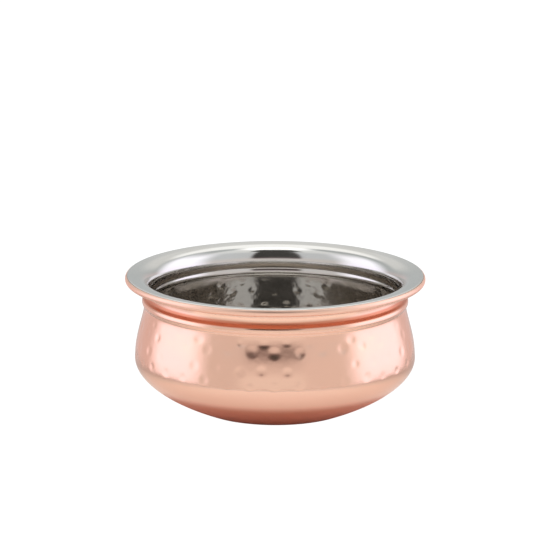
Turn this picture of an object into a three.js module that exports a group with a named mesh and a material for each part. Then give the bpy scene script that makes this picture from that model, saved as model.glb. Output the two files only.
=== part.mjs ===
// Handi serving bowl: a spun stainless steel liner in a hammered copper jacket. The collar that is rolled
// through both sheets locks them together, and the jacket's edge is turned up to meet the liner's at the lip.
// Millimetres, +Z up, origin at the middle of the base, on the surface that the bowl stands on.
import * as THREE from "three";

// Sheets
const JACKET_WALL = 0.5;
const LINER_WALL = 0.5;
const SHEET_GAP = 0.3; // clearance between the two sheets, and between their edges at the lip

// Base and belly, on the outside of the jacket
const HEIGHT = 57; // base to the top of the lip
const BASE_DIAMETER = 57.5; // flat part that the bowl stands on
const BASE_EDGE_RADIUS = 7;
const BOWL_RISE = THREE.MathUtils.degToRad(21); // slope of the bowl where it leaves the base edge
const BELLY_DIAMETER = 116.8;
const BELLY_HEIGHT = 22; // base to the widest ring

// Collar, on the outside of the jacket: neck, bead and groove, from the top down
const NECK_DROP = 7.3; // top of the lip to the narrowest ring of the neck
const NECK_TO_BEAD = 3.7;
const BEAD_TO_GROOVE = 2.4;
const BEAD_OUT = 1.7; // bead's crest beyond the neck
const BEAD_DEPTH = 0.8; // groove's bottom behind the bead's crest

// Brim and lip
const RIM_DIAMETER = 125;
const BRIM_WIDTH = 8.75; // neck to the outermost edge of the lip
const BRIM_RISE = THREE.MathUtils.degToRad(6);
const THROAT_WIDTH = 5.4; // neck to where the brim runs straight
const LIP_RADIUS = 1.6;
const LIP_TUCK = THREE.MathUtils.degToRad(-160); // where the jacket's roll starts, from straight out
const LIP_SEAM = THREE.MathUtils.degToRad(55); // where the jacket's roll ends and the liner's edge is

// Hammer marks, in staggered rows between the belly and the groove
const HAMMER_ROWS = 4;
const HAMMER_MARKS = 36; // in each row
const HAMMER_DEPTH = 0.2;

// Curve handles, as shares of the stretch that each one shapes
const BOWL_FULLNESS = [0.69, 0.33];
const SHOULDER_FULLNESS = [0.45, 0.18];
const GROOVE_FULLNESS = [0.5, 0.5];
const BEAD_FULLNESS = [0.6, 0.6];
const THROAT_FULLNESS = [0.85, 0.65];

// Steps along each stretch of the profile, and round the bowl: a mark is two steps wide
const EDGE_STEPS = 1;
const BOWL_STEPS = 7;
const COLLAR_STEPS = 3;
const THROAT_STEPS = 4;
const BEND_STEPS = 2;
const ROLL_STEPS = 4;
const COVER_STEPS = 2;
const ROUND_STEPS = 2 * HAMMER_MARKS;

const steel = new THREE.MeshStandardMaterial({ color: 0xcfcdc8, roughness: 0.12, metalness: 1 });
const copper = new THREE.MeshStandardMaterial({ color: 0xfad1ba, roughness: 0.14, metalness: 1 });

const point = (radius, height) => new THREE.Vector2(radius, height);
const heading = (angle) => new THREE.Vector2(Math.cos(angle), Math.sin(angle));
const along = (start, direction, distance) => start.clone().addScaledVector(direction, distance);

// The rings that the profile passes through, as radius and height
const rimRadius = RIM_DIAMETER / 2;
const neck = point(rimRadius - BRIM_WIDTH, HEIGHT - NECK_DROP);
const bead = point(neck.x + BEAD_OUT, neck.y - NECK_TO_BEAD);
const groove = point(bead.x - BEAD_DEPTH, bead.y - BEAD_TO_GROOVE);
const belly = point(BELLY_DIAMETER / 2, BELLY_HEIGHT);
const lip = point(rimRadius - LIP_RADIUS, HEIGHT - LIP_RADIUS);

// The top of the brim runs at a tangent to the lip. Its underside lies both sheets and their gap below that.
const brimAlong = heading(BRIM_RISE);
const brimNormal = heading(BRIM_RISE + Math.PI / 2);
const brimFoot = along(lip, brimNormal, LIP_RADIUS - JACKET_WALL - SHEET_GAP - LINER_WALL);

// A curve between two rings, upright at both ends.
function betweenRings(low, high, fullness) {
  const rise = high.y - low.y;
  const lowHandle = point(low.x, low.y + rise * fullness[0]);
  const highHandle = point(high.x, high.y - rise * fullness[1]);
  return new THREE.CubicBezierCurve(low, lowHandle, highHandle, high);
}

function arc(centre, radius, from, to) {
  return new THREE.EllipseCurve(centre.x, centre.y, radius, radius, from, to, to < from);
}

function bowlCurve() {
  const start = edgeArc().getPoint(1);
  const startHandle = along(start, heading(BOWL_RISE), (belly.x - start.x) * BOWL_FULLNESS[0]);
  const endHandle = point(belly.x, belly.y - (belly.y - start.y) * BOWL_FULLNESS[1]);
  return new THREE.CubicBezierCurve(start, startHandle, endHandle, belly);
}

function edgeArc() {
  const centre = point(BASE_DIAMETER / 2, BASE_EDGE_RADIUS);
  return arc(centre, BASE_EDGE_RADIUS, -Math.PI / 2, -Math.PI / 2 + BOWL_RISE);
}

function throatCurve() {
  const brimStart = along(brimFoot, brimAlong, (neck.x + THROAT_WIDTH - brimFoot.x) / brimAlong.x);
  const neckHandle = point(neck.x, neck.y + (brimStart.y - neck.y) * THROAT_FULLNESS[0]);
  const brimHandle = along(brimStart, brimAlong, -THROAT_WIDTH * THROAT_FULLNESS[1]);
  return new THREE.CubicBezierCurve(neck, neckHandle, brimHandle, brimStart);
}

// A station is a point on a sheet's outside face, with the direction that points out of the sheet there.
function stations(curve, steps) {
  return Array.from({ length: steps + 1 }, (_, i) => {
    const tangent = curve.getTangent(i / steps);
    return { at: curve.getPoint(i / steps), out: point(tangent.y, -tangent.x) };
  });
}

const chain = (...stretches) => stretches.flatMap((list, i) => (i ? list.slice(1) : list));
const sunk = (list, depth) => list.map((s) => ({ ...s, at: along(s.at, s.out, -depth) }));

// Every second station of the shoulder is a row of hammer marks.
function shoulder() {
  const list = stations(betweenRings(belly, groove, SHOULDER_FULLNESS), 2 * HAMMER_ROWS);
  return list.map((s, i) => (i % 2 ? { ...s, row: (i - 1) / 2 } : s));
}

// The outside of the jacket from the middle of the base to the top of the throat, which the liner follows.
const body = chain(
  stations(new THREE.LineCurve(point(0, 0), point(BASE_DIAMETER / 2, 0)), 1),
  stations(edgeArc(), EDGE_STEPS),
  stations(bowlCurve(), BOWL_STEPS),
  shoulder(),
  stations(betweenRings(groove, bead, GROOVE_FULLNESS), COLLAR_STEPS),
  stations(betweenRings(bead, neck, BEAD_FULLNESS), COLLAR_STEPS),
  stations(throatCurve(), THROAT_STEPS),
);

// The jacket runs on under the brim, bends down into the lip and rolls up round the outside of it.
function jacketFace() {
  const roll = arc(lip, LIP_RADIUS, LIP_TUCK, LIP_SEAM);
  const rollStart = roll.getPoint(0);
  const rollAlong = heading(LIP_TUCK + Math.PI / 2);
  const bendLeg = rollStart.clone().sub(brimFoot).dot(brimNormal) / rollAlong.dot(brimNormal);
  const corner = along(rollStart, rollAlong, -bendLeg);
  const bendStart = along(corner, brimAlong, -bendLeg);
  return chain(
    body,
    stations(new THREE.LineCurve(body.at(-1).at, bendStart), 1),
    stations(new THREE.QuadraticBezierCurve(bendStart, corner, rollStart), BEND_STEPS),
    stations(roll, ROLL_STEPS),
  );
}

// The liner lies inside the jacket, and its brim runs on over the top of the lip to the seam.
function linerFace() {
  const inner = sunk(body, JACKET_WALL + SHEET_GAP);
  const coverRadius = LIP_RADIUS - LINER_WALL;
  const seam = LIP_SEAM + SHEET_GAP / coverRadius;
  const cover = arc(lip, coverRadius, Math.PI / 2 + BRIM_RISE, seam);
  return chain(
    inner,
    stations(new THREE.LineCurve(inner.at(-1).at, cover.getPoint(0)), 1),
    stations(cover, COVER_STEPS),
  );
}

// Presses every second corner of each marked row inwards, the rows staggered.
function hammer(geometry, profile) {
  const position = geometry.getAttribute("position");
  for (let step = 0; step <= ROUND_STEPS; step++) {
    const turn = (step / ROUND_STEPS) * 2 * Math.PI;
    profile.forEach((station, i) => {
      if (station.row === undefined || (step + station.row) % 2) return;
      const dent = along(station.at, station.out, -HAMMER_DEPTH);
      position.setXYZ(step * profile.length + i, dent.x * Math.sin(turn), dent.y, dent.x * Math.cos(turn));
    });
  }
}

// A sheet of even wall, spun about the bowl's axis from its outside face.
function sheet(name, outside, wall, material) {
  const profile = [...outside, ...sunk(outside, wall).reverse()];
  const closed = profile.map((station) => station.at);
  const geometry = new THREE.LatheGeometry(closed, ROUND_STEPS);
  hammer(geometry, profile);
  geometry.rotateX(Math.PI / 2);
  geometry.computeVertexNormals();
  const mesh = new THREE.Mesh(geometry, material);
  mesh.name = name;
  return mesh;
}

const bowl = new THREE.Group();
bowl.add(sheet("copper_jacket", jacketFace(), JACKET_WALL, copper));
bowl.add(sheet("steel_liner", linerFace(), LINER_WALL, steel));

export default bowl;
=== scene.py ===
"""Looks of the handi serving bowl: a polished steel liner in a hammered copper jacket. Metres, +Z up."""
import math
import random

import bpy
import numpy as np
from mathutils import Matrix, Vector


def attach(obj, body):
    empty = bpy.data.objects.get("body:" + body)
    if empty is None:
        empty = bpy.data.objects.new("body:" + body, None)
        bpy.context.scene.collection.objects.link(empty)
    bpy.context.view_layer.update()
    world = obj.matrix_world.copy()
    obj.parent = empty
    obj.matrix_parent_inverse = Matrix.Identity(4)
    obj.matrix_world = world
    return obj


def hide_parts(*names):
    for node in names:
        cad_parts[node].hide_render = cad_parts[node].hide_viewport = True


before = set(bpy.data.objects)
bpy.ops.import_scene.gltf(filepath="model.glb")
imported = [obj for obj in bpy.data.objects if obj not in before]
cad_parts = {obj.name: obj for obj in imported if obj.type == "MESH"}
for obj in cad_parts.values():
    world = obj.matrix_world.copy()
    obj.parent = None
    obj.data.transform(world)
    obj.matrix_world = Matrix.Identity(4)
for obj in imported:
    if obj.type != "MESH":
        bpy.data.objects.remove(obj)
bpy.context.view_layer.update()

MM = 0.001

# Sheets
JACKET_WALL = 0.5 * MM
LINER_WALL = 0.5 * MM
SHEET_GAP = 0.3 * MM
SEAM_GAP = 0.1 * MM  # between the edges of the two sheets at the lip
CUT_BULGE = 0.03 * MM  # how far a cut edge is rounded

# Base and belly, on the outside of the jacket
HEIGHT = 57 * MM
BASE_RADIUS = 28.75 * MM
BASE_EDGE_RADIUS = 7 * MM
BOWL_RISE = math.radians(21)
BELLY_RADIUS = 58.4 * MM
BELLY_HEIGHT = 22 * MM

# Collar, on the outside of the jacket: neck, bead and groove, from the top down
NECK_DROP = 7.3 * MM
NECK_TO_BEAD = 3.7 * MM
BEAD_TO_GROOVE = 2.4 * MM
BEAD_OUT = 1.7 * MM
BEAD_DEPTH = 0.8 * MM

# Collar of the liner, shallower than the jacket's, measured as on the jacket's outside
LINER_NECK_DROP = 8.3 * MM
LINER_NECK_IN = 0.75 * MM
LINER_NECK_TO_BEAD = 0.8 * MM
LINER_BEAD_TO_GROOVE = 3 * MM
LINER_BEAD_OUT = 0.4 * MM
LINER_BEAD_DEPTH = 0.48 * MM

# Brim and lip
RIM_RADIUS = 62.5 * MM
BRIM_WIDTH = 8.75 * MM
BRIM_RISE = math.radians(6)
THROAT_WIDTH = 5.4 * MM
LIP_RADIUS = 1.6 * MM
LIP_TUCK = math.radians(-160)
LIP_SEAM = math.radians(55)

# Hammer marks, in staggered rows between the belly and the groove
ROW_HEIGHTS = (24 * MM, 30 * MM, 37 * MM, 41.5 * MM)
HAMMER_MARKS = 36  # in each row
MARK_RADIUS = (2.1 * MM, 3 * MM)
MARK_DEPTH = (0.08 * MM, 0.22 * MM)
MARK_DRIFT = 0.7 * MM  # how far a mark may lie from its even place
MARK_CLEARANCE = 0.6 * MM  # from the groove down to where the marks begin
MARK_FADE = 3.2 * MM  # from there down to where they have their full depth
MARK_LEAN = 0.5  # the hammer reaches faces that look out sideways by more than this share
LINER_MARKS = 0.8  # size of the marks in the liner, as a share of those in the jacket
MARK_SEED = 11

# Curve handles, as shares of the stretch that each one shapes
BOWL_FULLNESS = (0.69, 0.33)
SHOULDER_FULLNESS = (0.45, 0.18)
LINER_SHOULDER_FULLNESS = (0.4, 0.08)
GROOVE_FULLNESS = (0.5, 0.5)
BEAD_FULLNESS = (0.6, 0.6)
THROAT_FULLNESS = (0.85, 0.65)
LINER_THROAT_FULLNESS = (0.65, 0.65)

# Metal: cloudy tint, a darker band in the neck, polish, worn lip, lathe lines and hammer waves
CLOUD_SCALE = 60
CLOUD_DETAIL = 4
CLOUD_SPREAD = (0.3, 0.75)  # noise from the clear metal to the fullest cloud
CLOUD_STRENGTH = 0.4
WEAR_BELOW_COLLAR = 0.85
NECK_BAND_CORE = 0.42  # share of the neck band's reach that has its full colour
NECK_BAND_ROUGHNESS = 0.2
POLISH_SCALE = 90
POLISH_DETAIL = 2
POLISH_SPREAD = (0.25, 0.75)  # noise from the brightest polish to the dullest
LIP_WEAR_FROM = RIM_RADIUS - 1.1 * MM
LIP_WEAR_TO = RIM_RADIUS - 0.3 * MM
LIP_ROUGHNESS = 0.25
LATHE_SCALE = 1500
LATHE_STRENGTH = 0.1
LATHE_DEPTH = 0.02 * MM
WAVE_SCALE = 250
WAVE_DETAIL = 2
WAVE_FADE_AT_GROOVE = 3 * MM
WAVE_FADE_AT_BELLY = 5 * MM

# Steps along each stretch of the profile, and round the bowl
BASE_STEPS = 4
EDGE_STEPS = 6
BOWL_STEPS = 32
SHOULDER_STEPS = 48
COLLAR_STEPS = 12
THROAT_STEPS = 18
BRIM_STEPS = 4
BEND_STEPS = 8
ROLL_STEPS = 24
CUT_STEPS = 6
ROUND_STEPS = 480

# Camera, from the photograph: the view reaches FRAME_WIDTH across the bowl
CAMERA_DISTANCE = 2.6
CAMERA_ELEVATION = math.radians(13.5)
CAMERA_ROLL = math.radians(0.2)
FRAME_WIDTH = 228.8 * MM
AIM = Vector((-0.1 * MM, 0, 56.75 * MM))
VIEW_REACH = 50  # how far the camera sees

# Light bounces often between the polished faces inside the bowl
GLOSSY_BOUNCES = 24
MOST_BOUNCES = 28


def heading(angle):
    return Vector((math.cos(angle), math.sin(angle)))


# The rings that the profile passes through, as radius and height
neck = Vector((RIM_RADIUS - BRIM_WIDTH, HEIGHT - NECK_DROP))
bead = Vector((neck.x + BEAD_OUT, neck.y - NECK_TO_BEAD))
groove = Vector((bead.x - BEAD_DEPTH, bead.y - BEAD_TO_GROOVE))
liner_neck = Vector((neck.x - LINER_NECK_IN, HEIGHT - LINER_NECK_DROP))
liner_bead = Vector((liner_neck.x + LINER_BEAD_OUT, liner_neck.y - LINER_NECK_TO_BEAD))
liner_groove = Vector((liner_bead.x - LINER_BEAD_DEPTH, liner_bead.y - LINER_BEAD_TO_GROOVE))
belly = Vector((BELLY_RADIUS, BELLY_HEIGHT))
lip = Vector((RIM_RADIUS - LIP_RADIUS, HEIGHT - LIP_RADIUS))
brim_along = heading(BRIM_RISE)
brim_normal = heading(BRIM_RISE + math.pi / 2)
brim_foot = lip + brim_normal * (LIP_RADIUS - JACKET_WALL - SHEET_GAP - LINER_WALL)


def bezier(handles, steps):
    """Stations along a Bezier curve: each is a point with the direction out of the sheet there."""
    stations = []
    for step in range(steps + 1):
        share = step / steps
        points = handles
        while len(points) > 2:
            points = [a.lerp(b, share) for a, b in zip(points, points[1:])]
        along = (points[1] - points[0]).normalized()
        stations.append((points[0].lerp(points[1], share), Vector((along.y, -along.x))))
    return stations


def arc(centre, radius, start, end, steps):
    """Stations along an arc, with out away from its centre."""
    turns = [start + (end - start) * step / steps for step in range(steps + 1)]
    return [(centre + heading(turn) * radius, heading(turn)) for turn in turns]


def between_rings(low, high, fullness, steps):
    """Stations between two rings, upright at both ends."""
    rise = Vector((0, high.y - low.y))
    return bezier([low, low + rise * fullness[0], high - rise * fullness[1], high], steps)


def base_edge():
    centre = Vector((BASE_RADIUS, BASE_EDGE_RADIUS))
    return arc(centre, BASE_EDGE_RADIUS, -math.pi / 2, BOWL_RISE - math.pi / 2, EDGE_STEPS)


def bowl_side():
    start = base_edge()[-1][0]
    start_handle = start + heading(BOWL_RISE) * (belly.x - start.x) * BOWL_FULLNESS[0]
    end_handle = belly - Vector((0, (belly.y - start.y) * BOWL_FULLNESS[1]))
    return bezier([start, start_handle, end_handle, belly], BOWL_STEPS)


def throat(start, fullness):
    brim_start = brim_foot + brim_along * ((start.x + THROAT_WIDTH - brim_foot.x) / brim_along.x)
    start_handle = start + Vector((0, (brim_start.y - start.y) * fullness[0]))
    brim_handle = brim_start - brim_along * THROAT_WIDTH * fullness[1]
    return bezier([start, start_handle, brim_handle, brim_start], THROAT_STEPS)


def chain(*stretches):
    """Joins stretches that start where the one before ends."""
    joined = list(stretches[0])
    for stretch in stretches[1:]:
        joined += stretch[1:]
    return joined


def sunk(stations, depth):
    return [(at - out * depth, out) for at, out in stations]


def body(collar, shoulder_fullness, throat_fullness):
    """The outside of a sheet, from the middle of the base through its collar to the top of the throat."""
    low, crest, high = collar
    return chain(
        bezier([Vector((0, 0)), Vector((BASE_RADIUS, 0))], BASE_STEPS),
        base_edge(),
        bowl_side(),
        between_rings(belly, low, shoulder_fullness, SHOULDER_STEPS),
        between_rings(low, crest, GROOVE_FULLNESS, COLLAR_STEPS),
        between_rings(crest, high, BEAD_FULLNESS, COLLAR_STEPS),
        throat(high, throat_fullness),
    )


def jacket_face():
    """The body runs on under the brim, bends down into the lip and rolls up round the outside of it."""
    lower = body((groove, bead, neck), SHOULDER_FULLNESS, THROAT_FULLNESS)
    roll_start = lip + heading(LIP_TUCK) * LIP_RADIUS
    roll_along = heading(LIP_TUCK + math.pi / 2)
    bend_leg = (roll_start - brim_foot).dot(brim_normal) / roll_along.dot(brim_normal)
    corner = roll_start - roll_along * bend_leg
    bend_start = corner - brim_along * bend_leg
    return chain(
        lower,
        bezier([lower[-1][0], bend_start], BRIM_STEPS),
        bezier([bend_start, corner, roll_start], BEND_STEPS),
        arc(lip, LIP_RADIUS, LIP_TUCK, LIP_SEAM, ROLL_STEPS),
    )


def liner_face():
    """The liner lies inside the jacket, and its brim runs on over the top of the lip to the seam."""
    collar = (liner_groove, liner_bead, liner_neck)
    outer = body(collar, LINER_SHOULDER_FULLNESS, LINER_THROAT_FULLNESS)
    lower = sunk(outer, JACKET_WALL + SHEET_GAP)
    cover_radius = LIP_RADIUS - LINER_WALL
    seam = LIP_SEAM + SEAM_GAP / cover_radius
    cover = arc(lip, cover_radius, math.pi / 2 + BRIM_RISE, seam, ROLL_STEPS)
    # The cover's faces swap over: the outside of the sheet looks in at the lip's middle there.
    cover = [(at, -out) for at, out in cover]
    return chain(lower, bezier([lower[-1][0], cover[0][0]], BRIM_STEPS), cover)


def hammer_marks(share):
    """Each mark as its angle round the bowl, height, radius and depth, the last two scaled by share."""
    draw = random.Random(MARK_SEED)
    marks = []
    for row, row_height in enumerate(ROW_HEIGHTS):
        for place in range(HAMMER_MARKS):
            even_turn = 2 * math.pi * (place + row % 2 / 2) / HAMMER_MARKS
            turn = even_turn + draw.uniform(-MARK_DRIFT, MARK_DRIFT) / BELLY_RADIUS
            height = row_height + draw.uniform(-MARK_DRIFT, MARK_DRIFT)
            radius = share * draw.uniform(*MARK_RADIUS)
            depth = share * draw.uniform(*MARK_DEPTH)
            marks.append((turn, height, radius, depth))
    return marks


def dents(profile, turns, mark_share):
    """How deep the hammer has pressed each point of the sheet, by station and step round the bowl."""
    depth = np.zeros((len(profile), len(turns)))
    radius = np.array([at.x for at, _ in profile])[:, None]
    height = np.array([at.y for at, _ in profile])[:, None]
    upright = np.array([out.x for _, out in profile])[:, None]
    for turn, mark_height, mark_radius, mark_depth in hammer_marks(mark_share):
        across = (turns[None, :] - turn + math.pi) % (2 * math.pi) - math.pi
        share = ((across * radius) ** 2 + (height - mark_height) ** 2) / mark_radius**2
        pressed = mark_depth * np.clip(1 - share, 0, None) ** 2
        depth = np.maximum(depth, np.where(upright > MARK_LEAN, pressed, 0))
    # The marks run out below the groove, where the collar is rolled smooth.
    return depth * np.clip((groove.y - MARK_CLEARANCE - height) / MARK_FADE, 0, 1)


def spin(name, outside, wall, mark_share, material):
    """A sheet of even wall, spun about the bowl's axis, with a slightly rounded cut edge and its marks."""
    edge_at, edge_out = outside[-1]
    edge_along = Vector((-edge_out.y, edge_out.x))
    middle = edge_at - edge_out * wall / 2
    cut = []
    for step in range(1, CUT_STEPS):
        turn = math.pi * step / CUT_STEPS
        cut_at = middle + edge_out * math.cos(turn) * wall / 2 + edge_along * math.sin(turn) * CUT_BULGE
        cut.append((cut_at, edge_out))
    profile = outside + cut + sunk(outside, wall)[::-1]
    turns = np.arange(ROUND_STEPS) * 2 * math.pi / ROUND_STEPS

    face = outside + cut + outside[::-1]
    depth = dents([(at, out) for (at, _), (_, out) in zip(profile, face)], turns, mark_share)
    at = np.array([list(point) for point, _ in profile])
    out = np.array([list(direction) for _, direction in face])
    pressed = at[:, None, :] - depth[:, :, None] * out[:, None, :]
    places = np.stack(
        [pressed[:, :, 0] * np.sin(turns), -pressed[:, :, 0] * np.cos(turns), pressed[:, :, 1]], axis=2
    )
    rings = places[1:-1].reshape(-1, 3).tolist()
    first_pole, last_pole = len(rings), len(rings) + 1
    vertices = rings + [places[0, 0].tolist(), places[-1, 0].tolist()]

    faces = []
    last_ring = len(rings) - ROUND_STEPS
    for step in range(ROUND_STEPS):
        beside = (step + 1) % ROUND_STEPS
        faces.append((first_pole, beside, step))
        faces.append((last_pole, last_ring + step, last_ring + beside))
        for ring in range(0, last_ring, ROUND_STEPS):
            above = ring + ROUND_STEPS
            faces.append((ring + step, ring + beside, above + beside, above + step))

    mesh = bpy.data.meshes.new(name)
    mesh.from_pydata(vertices, [], faces)
    mesh.shade_smooth()
    mesh.materials.append(material)
    piece = bpy.data.objects.new(name, mesh)
    bpy.context.collection.objects.link(piece)
    return piece


def new_material(name):
    material = bpy.data.materials.new(name)
    material.use_nodes = True
    return material, material.node_tree.nodes, material.node_tree.links


def noise(nodes, links, place, scale, detail):
    texture = nodes.new("ShaderNodeTexNoise")
    texture.inputs["Scale"].default_value = scale
    texture.inputs["Detail"].default_value = detail
    links.new(place, texture.inputs["Vector"])
    return texture.outputs["Fac"]


def map_range(nodes, links, value, start, end, low=0, high=1):
    """Maps the stretch from start to end softly onto low to high."""
    node = nodes.new("ShaderNodeMapRange")
    node.interpolation_type = "SMOOTHSTEP"
    for socket, number in zip(node.inputs[1:5], (start, end, low, high)):
        socket.default_value = number
    links.new(value, node.inputs["Value"])
    return node.outputs["Result"]


def math_node(nodes, links, operation, *values):
    node = nodes.new("ShaderNodeMath")
    node.operation = operation
    for socket, value in zip(node.inputs, values):
        if isinstance(value, (int, float)):
            socket.default_value = value
        else:
            links.new(value, socket)
    return node.outputs["Value"]


def mix_colours(nodes, links, share, first, second):
    """Mixes two colours; the first may also be the outcome of another mix."""
    mix = nodes.new("ShaderNodeMix")
    mix.data_type = "RGBA"
    if isinstance(first, tuple):
        mix.inputs["A"].default_value = (*first, 1)
    else:
        links.new(first, mix.inputs["A"])
    mix.inputs["B"].default_value = (*second, 1)
    links.new(share, mix.inputs["Factor"])
    return mix.outputs["Result"]


def add_bump(nodes, links, height, strength, distance):
    bump = nodes.new("ShaderNodeBump")
    bump.inputs["Strength"].default_value = strength
    bump.inputs["Distance"].default_value = distance
    links.new(height, bump.inputs["Height"])
    return bump


def radius_and_height(nodes, links, place):
    axes = nodes.new("ShaderNodeSeparateXYZ")
    links.new(place, axes.inputs["Vector"])
    x, y, z = axes.outputs
    squares = [math_node(nodes, links, "MULTIPLY", side, side) for side in (x, y)]
    return math_node(nodes, links, "SQRT", math_node(nodes, links, "ADD", *squares)), z


def polished_metal(
    name, colour, worn_colour, neck_colour, neck_band_drop, neck_band_reach, roughness, wave_depth
):
    """Polished sheet metal. A darker band in the neck colour lies below the neck by its drop, and fades over
    its reach.
    """
    material, nodes, links = new_material(name)
    shader = nodes["Principled BSDF"]
    shader.inputs["Metallic"].default_value = 1
    place = nodes.new("ShaderNodeTexCoord").outputs["Object"]
    radius, height = radius_and_height(nodes, links, place)

    cloud_noise = noise(nodes, links, place, CLOUD_SCALE, CLOUD_DETAIL)
    cloud = map_range(nodes, links, cloud_noise, *CLOUD_SPREAD, 0, CLOUD_STRENGTH)
    below_collar = map_range(nodes, links, height, neck.y, groove.y, 0, WEAR_BELOW_COLLAR)
    worn = math_node(nodes, links, "MAXIMUM", cloud, below_collar)
    tint = mix_colours(nodes, links, worn, colour, worn_colour)
    # Darker band in the neck colour just below the neck
    above_neck_band = math_node(nodes, links, "SUBTRACT", height, neck.y - neck_band_drop)
    from_neck_band = math_node(nodes, links, "ABSOLUTE", above_neck_band)
    neck_band = map_range(nodes, links, from_neck_band, neck_band_reach, NECK_BAND_CORE * neck_band_reach)
    tint = mix_colours(nodes, links, neck_band, tint, neck_colour)
    links.new(tint, shader.inputs["Base Color"])

    polish_noise = noise(nodes, links, place, POLISH_SCALE, POLISH_DETAIL)
    polish = map_range(nodes, links, polish_noise, *POLISH_SPREAD, *roughness)
    neck_band_dull = math_node(nodes, links, "MULTIPLY", neck_band, NECK_BAND_ROUGHNESS)
    lip_dull = map_range(nodes, links, radius, LIP_WEAR_FROM, LIP_WEAR_TO, 0, LIP_ROUGHNESS)
    dull = math_node(nodes, links, "ADD", neck_band_dull, lip_dull)
    links.new(math_node(nodes, links, "ADD", polish, dull), shader.inputs["Roughness"])

    lines = nodes.new("ShaderNodeTexNoise")
    lines.noise_dimensions = "1D"
    lines.inputs["Scale"].default_value = LATHE_SCALE
    links.new(math_node(nodes, links, "ADD", radius, height), lines.inputs["W"])
    line_bump = add_bump(nodes, links, lines.outputs["Fac"], LATHE_STRENGTH, LATHE_DEPTH)

    below_groove = map_range(nodes, links, height, groove.y, groove.y - WAVE_FADE_AT_GROOVE)
    above_belly = map_range(nodes, links, height, belly.y - WAVE_FADE_AT_BELLY, belly.y)
    hammered = math_node(nodes, links, "MULTIPLY", below_groove, above_belly)
    wave_noise = noise(nodes, links, place, WAVE_SCALE, WAVE_DETAIL)
    waves = math_node(nodes, links, "MULTIPLY", wave_noise, hammered)
    wave_bump = add_bump(nodes, links, waves, 1, wave_depth)
    links.new(line_bump.outputs["Normal"], wave_bump.inputs["Normal"])
    links.new(wave_bump.outputs["Normal"], shader.inputs["Normal"])
    return material


def make_bowl():
    copper = polished_metal(
        "hammered_copper",
        colour=(0.955, 0.637, 0.5),
        worn_colour=(0.94, 0.605, 0.465),
        neck_colour=(0.72, 0.29, 0.18),
        neck_band_drop=1.3 * MM,
        neck_band_reach=1.7 * MM,
        roughness=(0.12, 0.2),
        wave_depth=0.03 * MM,
    )
    steel = polished_metal(
        "polished_steel",
        colour=(0.71, 0.705, 0.69),
        worn_colour=(0.65, 0.622, 0.585),
        neck_colour=(0.5, 0.43, 0.36),
        neck_band_drop=1.1 * MM,
        neck_band_reach=1.3 * MM,
        roughness=(0.08, 0.14),
        wave_depth=0.12 * MM,
    )
    jacket = spin("hammered_copper_jacket", jacket_face(), JACKET_WALL, 1, copper)
    liner = spin("polished_steel_liner", liner_face(), LINER_WALL, LINER_MARKS, steel)
    for piece, node, slot in ((jacket, "copper_jacket", "copper"), (liner, "steel_liner", "steel")):
        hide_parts(node)
        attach(piece, "root")


def make_camera():
    data = bpy.data.cameras.new("camera")
    data.lens = data.sensor_width * CAMERA_DISTANCE / FRAME_WIDTH
    data.clip_end = VIEW_REACH
    camera = bpy.data.objects.new("camera", data)
    bpy.context.collection.objects.link(camera)
    back = Vector((0, -math.cos(CAMERA_ELEVATION), math.sin(CAMERA_ELEVATION)))
    camera.location = AIM + back * CAMERA_DISTANCE
    camera.rotation_euler = (math.pi / 2 - CAMERA_ELEVATION, 0, 0)
    camera.rotation_euler.rotate_axis("Z", CAMERA_ROLL)
    bpy.context.scene.camera = camera


# The studio round the bowl, as patches of light seen from it. Each has the azimuth of its middle, from the
# camera's side to the right, and half its width, then its lowest and highest elevation, then the softness of
# its edges, all in degrees, and its radiance. Later patches cover earlier ones.
ROOM = (0.55, 0.575, 0.575)
STUDIO = {
    "low_room": ((0, 168), (-100, 8), 10, (0.74, 0.61, 0.6)),
    "front_room": ((0, 90), (-100, 60), 15, (0.74, 0.69, 0.665)),
    "right_room": ((50, 30), (-100, 60), 10, (0.79, 0.735, 0.71)),
    "table_beyond": ((0, 80), (-70, -17), 3, (1.06, 0.99, 0.94)),
    "front_wall": ((0, 95), (18, 80), 8, (0.71, 0.725, 0.74)),
    "high_wall": ((0, 95), (56, 80), 8, (0.93, 0.94, 0.93)),
    "backdrop": ((180, 40), (20, 100), 8, (0.84, 0.84, 0.82)),
    "back_softbox": ((180, 40), (41, 100), 6, (1.3, 1.3, 1.28)),
    "overhead_softbox": ((0, 200), (75, 110), 5, (1.7, 1.7, 1.7)),
    "left_softbox": ((-92, 24), (-12, 50), 14, (1.45, 1.44, 1.54)),
    "right_softbox": ((100, 28), (-12, 50), 14, (1.48, 1.47, 1.57)),
    "left_softbox_foot": ((-92, 24), (-12, 10), 14, (1.38, 1.28, 1.52)),
    "right_softbox_foot": ((100, 28), (-12, 10), 14, (1.4, 1.3, 1.54)),
    "front_table": ((-2, 27), (-13, 4), 4, (0.86, 0.83, 0.8)),
    "dark_panel_edge": ((-1, 23), (14, 76), 2.5, (0.18, 0.135, 0.135)),
    "dark_panel": ((-1, 23), (19, 76), 3, (0.065, 0.062, 0.058)),
    "dark_panel_top": ((-1, 36), (60, 77), 3, (0.065, 0.062, 0.058)),
}


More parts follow.
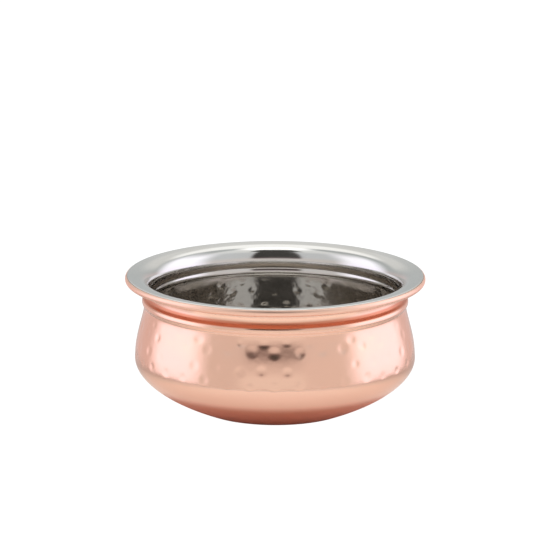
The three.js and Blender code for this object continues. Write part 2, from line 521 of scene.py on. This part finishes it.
def make_studio_light():
    world = bpy.data.worlds.new("studio")
    world.use_nodes = True
    bpy.context.scene.world = world
    nodes, links = world.node_tree.nodes, world.node_tree.links

    axes = nodes.new("ShaderNodeSeparateXYZ")
    links.new(nodes.new("ShaderNodeTexCoord").outputs["Generated"], axes.inputs["Vector"])
    x, y, z = axes.outputs
    towards_camera = math_node(nodes, links, "MULTIPLY", y, -1)
    azimuth = math_node(nodes, links, "DEGREES", math_node(nodes, links, "ARCTAN2", x, towards_camera))
    elevation = math_node(nodes, links, "DEGREES", math_node(nodes, links, "ARCSINE", z))
    light = ROOM
    for (middle, half_width), (low, high), soft, radiance in STUDIO.values():
        turn = math_node(nodes, links, "SUBTRACT", azimuth, middle)
        aside = math_node(nodes, links, "ABSOLUTE", math_node(nodes, links, "WRAP", turn, 180, -180))
        mask = map_range(nodes, links, aside, half_width + soft, half_width - soft)
        for outside, inside in ((low - soft, low + soft), (high + soft, high - soft)):
            edge = map_range(nodes, links, elevation, outside, inside)
            mask = math_node(nodes, links, "MULTIPLY", mask, edge)
        light = mix_colours(nodes, links, mask, light, radiance)
    links.new(light, nodes["Background"].inputs["Color"])


# Table that the bowl reflects, with painted light and shade on it. A pair of lengths is where a change
# across the table starts and ends.
TABLE_RADIUS = 190 * MM
TABLE_DROP = 0.1 * MM  # below the base
TABLE_COLOUR = (0.88, 0.85, 0.82)
# Painted shade under the bowl, warmed by painted light thrown back from the copper
TABLE_PAINTED_SHADE = (0.88, 0.6, 0.52)
# Painted shade on the table far from the painted pool of light in front of the bowl
TABLE_FAR_PAINTED_SHADE = (0.66, 0.6, 0.58)
TABLE_ROUGHNESS = 0.8
PAINTED_SHADE_EDGE = (42 * MM, 54 * MM)
TABLE_FADE = (160 * MM, 120 * MM)
PAINTED_LIGHT_CENTRE = (0, -40 * MM, 0)  # middle of the painted pool of light on the table
PAINTED_SHADE_FAR_EDGE = (88 * MM, 128 * MM)
# Painted light: the table glows just outside the painted shade, fading away from the front
PAINTED_LIGHT_COLOUR = (1, 0.95, 0.9)
PAINTED_LIGHT_STRENGTH = 0.25
PAINTED_LIGHT_EDGE = (44 * MM, 53 * MM)
PAINTED_LIGHT_FADE = (105 * MM, 55 * MM)

# Floor that the camera sees
FLOOR_RADIUS = 8
FLOOR_DROP = 0.2 * MM
FLOOR_COLOUR = (0.1, 0.1, 0.1)
FLOOR_GLOW = (1, 1, 1)
DISC_CORNERS = 96


def flat_disc(name, radius, height):
    mesh = bpy.data.meshes.new(name)
    turns = [2 * math.pi * corner / DISC_CORNERS for corner in range(DISC_CORNERS)]
    corners = [(radius * math.cos(turn), radius * math.sin(turn), height) for turn in turns]
    mesh.from_pydata(corners, [], [range(DISC_CORNERS)])
    disc = bpy.data.objects.new(name, mesh)
    bpy.context.collection.objects.link(disc)
    return disc


def make_table():
    """A white table that the bowl reflects and the camera doesn't see, with warm painted shade below the
    bowl, painted shade far from the front and a painted glow in front.
    """
    table = flat_disc("table", TABLE_RADIUS, -TABLE_DROP)
    table.visible_camera = False
    material, nodes, links = new_material("table_painted_light_and_shade")
    shader = nodes["Principled BSDF"]
    shader.inputs["Roughness"].default_value = TABLE_ROUGHNESS
    place = nodes.new("ShaderNodeTexCoord").outputs["Object"]
    radius, _ = radius_and_height(nodes, links, place)
    from_painted_light = nodes.new("ShaderNodeVectorMath")
    from_painted_light.operation = "DISTANCE"
    from_painted_light.inputs[1].default_value = PAINTED_LIGHT_CENTRE
    links.new(place, from_painted_light.inputs[0])
    distance = from_painted_light.outputs["Value"]

    # Painted shade under the bowl, warm with painted light from the copper
    outside_painted_shade = map_range(nodes, links, radius, *PAINTED_SHADE_EDGE)
    shade = mix_colours(nodes, links, outside_painted_shade, TABLE_PAINTED_SHADE, TABLE_COLOUR)
    # Painted shade: the table darkens away from the painted pool of light in front
    far_painted_shade = map_range(nodes, links, distance, *PAINTED_SHADE_FAR_EDGE)
    shade = mix_colours(nodes, links, far_painted_shade, shade, TABLE_FAR_PAINTED_SHADE)
    links.new(shade, shader.inputs["Base Color"])
    links.new(map_range(nodes, links, radius, *TABLE_FADE), shader.inputs["Alpha"])

    # Painted light: the table glows in a ring round the bowl, strongest in front
    shader.inputs["Emission Color"].default_value = (*PAINTED_LIGHT_COLOUR, 1)
    painted_light = map_range(nodes, links, radius, *PAINTED_LIGHT_EDGE, 0, PAINTED_LIGHT_STRENGTH)
    near_painted_light = map_range(nodes, links, distance, *PAINTED_LIGHT_FADE)
    links.new(math_node(nodes, links, "MULTIPLY", painted_light, near_painted_light), shader.inputs["Emission Strength"])
    table.data.materials.append(material)


def make_floor():
    """The white floor that the camera sees and the bowl doesn't reflect."""
    floor = flat_disc("floor", FLOOR_RADIUS, -FLOOR_DROP)
    floor.visible_glossy = False
    floor.visible_diffuse = False
    floor.visible_shadow = False
    material, nodes, _ = new_material("floor_white")
    shader = nodes["Principled BSDF"]
    shader.inputs["Base Color"].default_value = (*FLOOR_COLOUR, 1)
    shader.inputs["Roughness"].default_value = 1
    shader.inputs["Specular IOR Level"].default_value = 0
    shader.inputs["Emission Color"].default_value = (*FLOOR_GLOW, 1)
    shader.inputs["Emission Strength"].default_value = 1
    floor.data.materials.append(material)


make_bowl()
make_camera()
make_studio_light()
make_table()
make_floor()
bpy.context.scene.view_settings.view_transform = "Standard"
bpy.context.scene.cycles.glossy_bounces = GLOSSY_BOUNCES
bpy.context.scene.cycles.max_bounces = MOST_BOUNCES

bpy.context.view_layer.update()
